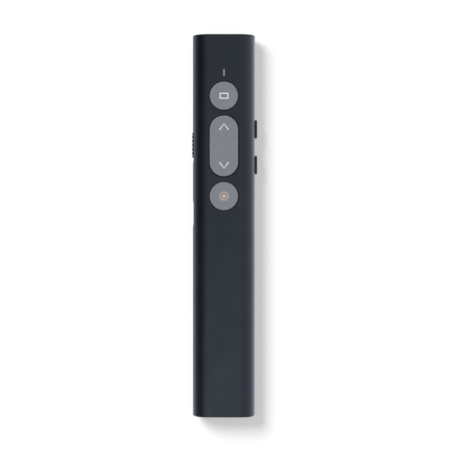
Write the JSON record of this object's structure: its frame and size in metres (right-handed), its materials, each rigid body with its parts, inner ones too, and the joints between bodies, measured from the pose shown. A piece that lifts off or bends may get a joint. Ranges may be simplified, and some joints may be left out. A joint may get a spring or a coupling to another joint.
{
  "type": "wireless presentation clicker",
  "caption": "Slim rounded-bar wireless presentation remote with front keys, a rocker, side keys, a power slide, a laser nose, a charging port and a stowed USB receiver.",
  "frame": {"origin": "middle of the flat back face, which rests on a table", "axes": "+X to the right seen from the front, +Y towards the laser nose, +Z out of the front where the keys are"},
  "size_m": [0.0267, 0.1554, 0.0126],
  "materials": {
    "sleeve_aluminium": "fine-blasted and anodised charcoal",
    "cap_plastic": "fine spark texture",
    "key_plastic": "soft-touch matte grey",
    "side_key_plastic": "satin near-black",
    "frame_plastic": "plain moulded",
    "clear_plastic": "clear polycarbonate",
    "lens_glass": "polished and coated",
    "barrel_brass": "turned",
    "spring_steel": "stainless",
    "bright_steel": "nickel-plated",
    "magnet_nickel": "nickel-plated",
    "board_laminate": "green solder mask",
    "chip_plastic": "moulded epoxy",
    "switch_plastic": "moulded nylon",
    "tongue_plastic": "moulded liquid-crystal polymer",
    "contact_gold": "gold flash",
    "battery_film": "aluminised pouch film",
    "foam": "adhesive foam",
    "connector_nylon": "natural nylon",
    "lead_rubber": "silicone insulation"
  },
  "bodies": {
    "housing": {"sleeve": "sleeve_aluminium", "nose_cap": "cap_plastic", "tail_cap": "cap_plastic", "port_bezel": "cap_plastic", "chassis": "frame_plastic", "key_guide": "frame_plastic", "nose_window": "clear_plastic", "light_pipe": "clear_plastic", "laser_lens": "lens_glass", "laser_barrel": "barrel_brass", "blank_key_dome": "spring_steel", "page_forward_dome": "spring_steel", "page_back_dome": "spring_steel", "laser_key_dome": "spring_steel", "frame_screws": "bright_steel", "laser_diode": "bright_steel", "usb_c_shell": "bright_steel", "radio_crystal": "bright_steel", "receiver_magnet": "magnet_nickel", "main_board": "board_laminate", "microcontroller": "chip_plastic", "charge_chip": "chip_plastic", "chip_antenna": "chip_plastic", "board_passives": "chip_plastic", "status_led": "chip_plastic", "upper_side_switch": "switch_plastic", "lower_side_switch": "switch_plastic", "power_switch_case": "switch_plastic", "usb_c_tongue": "tongue_plastic", "usb_c_contacts": "contact_gold", "battery": "battery_film", "battery_pad": "foam", "battery_connector": "connector_nylon", "battery_leads": "lead_rubber"},
    "blank_key_body": {"blank_key": "key_plastic"},
    "laser_key_body": {"laser_key": "key_plastic"},
    "rocker_body": {"rocker_key": "key_plastic"},
    "upper_side_key_body": {"upper_side_key": "side_key_plastic", "upper_side_plunger": "switch_plastic"},
    "lower_side_key_body": {"lower_side_key": "side_key_plastic", "lower_side_plunger": "switch_plastic"},
    "power_slide_body": {"power_knob": "side_key_plastic", "power_switch_lever": "switch_plastic"},
    "receiver_body": {"receiver_grip": "cap_plastic", "receiver_plug": "bright_steel", "receiver_tongue": "tongue_plastic", "receiver_contacts": "contact_gold"}
  },
  "joints": [
    {"name": "blank_key_press", "type": "slide", "parent": "housing", "child": "blank_key_body", "axis": [0, 0, -1], "range_m": [0, 0.0003], "stiffness_N_per_m": 1500, "springref_m": -0.0006, "deforming": ["blank_key_dome"]},
    {"name": "laser_key_press", "type": "slide", "parent": "housing", "child": "laser_key_body", "axis": [0, 0, -1], "range_m": [0, 0.0003], "stiffness_N_per_m": 1500, "springref_m": -0.0006, "deforming": ["laser_key_dome"]},
    {"name": "rocker_tilt", "type": "hinge", "parent": "housing", "child": "rocker_body", "pos_m": [0, 0.0323, 0.01008], "axis": [1, 0, 0], "range_deg": [-2, 2], "stiffness_Nm_per_rad": 0.3, "deforming": ["page_forward_dome", "page_back_dome"]},
    {"name": "upper_side_key_press", "type": "slide", "parent": "housing", "child": "upper_side_key_body", "axis": [-1, 0, 0], "range_m": [0, 0.00035], "stiffness_N_per_m": 1500, "springref_m": -0.0006},
    {"name": "lower_side_key_press", "type": "slide", "parent": "housing", "child": "lower_side_key_body", "axis": [-1, 0, 0], "range_m": [0, 0.00035], "stiffness_N_per_m": 1500, "springref_m": -0.0006},
    {"name": "power_switch_slide", "type": "slide", "parent": "housing", "child": "power_slide_body", "axis": [0, -1, 0], "range_m": [0, 0.002]},
    {"name": "receiver_pull", "type": "slide", "parent": "housing", "child": "receiver_body", "axis": [0, -1, 0], "range_m": [0, 0.022]}
  ]
}
